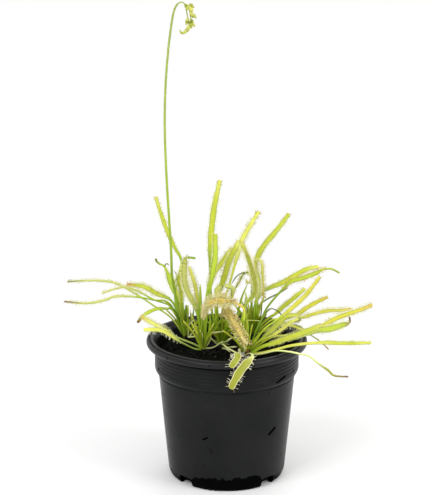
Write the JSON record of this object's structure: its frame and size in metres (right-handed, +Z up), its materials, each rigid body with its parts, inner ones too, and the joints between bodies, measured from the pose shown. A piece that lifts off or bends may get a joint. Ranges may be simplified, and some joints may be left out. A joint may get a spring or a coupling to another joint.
{
  "type": "potted cape sundew",
  "caption": "Sticky strap-leaved sundew plants with a nodding flower scape, growing in peat in a black nursery pot.",
  "frame": {"origin": "centre of the pot's flat underside, where it rests", "axes": "+Z up along the pot's axis, +X to the right and +Y away from the front as pictured"},
  "size_m": [0.1727, 0.0982, 0.267],
  "materials": {
    "pot": "black moulded plastic with a soft sheen",
    "peat": "moist crumbly peat",
    "crown": "matt reddish-brown leaf bases",
    "leaf_green": "bright yellow-green, slightly glossy, with sticky glands",
    "leaf_pale": "pale yellow-green, slightly glossy, with sticky glands",
    "leaf_hairy": "dense cream to peach gland hairs",
    "leaf_dry": "dull, drying olive to brown",
    "scape": "smooth olive green with fine down",
    "buds": "yellow-green closed buds with fine down"
  },
  "bodies": {
    "root": {"pot": "pot", "peat": "peat", "crown_a": "crown", "crown_b": "crown", "crown_c": "crown", "crown_d": "crown", "crown_e": "crown", "leaf_left_1": "leaf_pale", "leaf_left_2": "leaf_pale", "leaf_left_3": "leaf_green", "leaf_left_4": "leaf_pale", "leaf_left_5": "leaf_dry", "leaf_left_6": "leaf_pale", "leaf_left_7": "leaf_pale", "leaf_tall_1": "leaf_green", "leaf_tall_2": "leaf_hairy", "leaf_tall_3": "leaf_green", "leaf_tall_4": "leaf_green", "leaf_tall_5": "leaf_green", "leaf_tall_6": "leaf_green", "leaf_middle_1": "leaf_green", "leaf_middle_2": "leaf_green", "leaf_middle_3": "leaf_green", "leaf_middle_4": "leaf_green", "leaf_middle_5": "leaf_pale", "leaf_middle_6": "leaf_green", "leaf_furled_1": "leaf_pale", "leaf_furled_2": "leaf_green", "leaf_arched_1": "leaf_hairy", "leaf_arched_2": "leaf_hairy", "leaf_front_1": "leaf_pale", "leaf_front_2": "leaf_pale", "leaf_right_1": "leaf_green", "leaf_right_2": "leaf_green", "leaf_right_3": "leaf_dry", "leaf_right_4": "leaf_green", "leaf_right_5": "leaf_green", "leaf_right_6": "leaf_green", "leaf_right_7": "leaf_green", "leaf_right_8": "leaf_green", "leaf_right_9": "leaf_dry", "leaf_back_1": "leaf_green", "leaf_back_2": "leaf_hairy", "leaf_back_3": "leaf_green", "leaf_back_4": "leaf_green", "leaf_back_5": "leaf_green", "leaf_back_6": "leaf_dry", "leaf_back_7": "leaf_green", "leaf_back_8": "leaf_green", "leaf_back_9": "leaf_green", "leaf_back_10": "leaf_dry", "leaf_back_11": "leaf_hairy", "leaf_back_12": "leaf_green", "stalk_1": "leaf_dry", "stalk_2": "leaf_dry", "stalk_3": "leaf_dry", "stalk_4": "leaf_pale", "flower_scape": "scape", "buds_curl": "buds", "buds_row": "buds"}
  },
  "joints": []
}
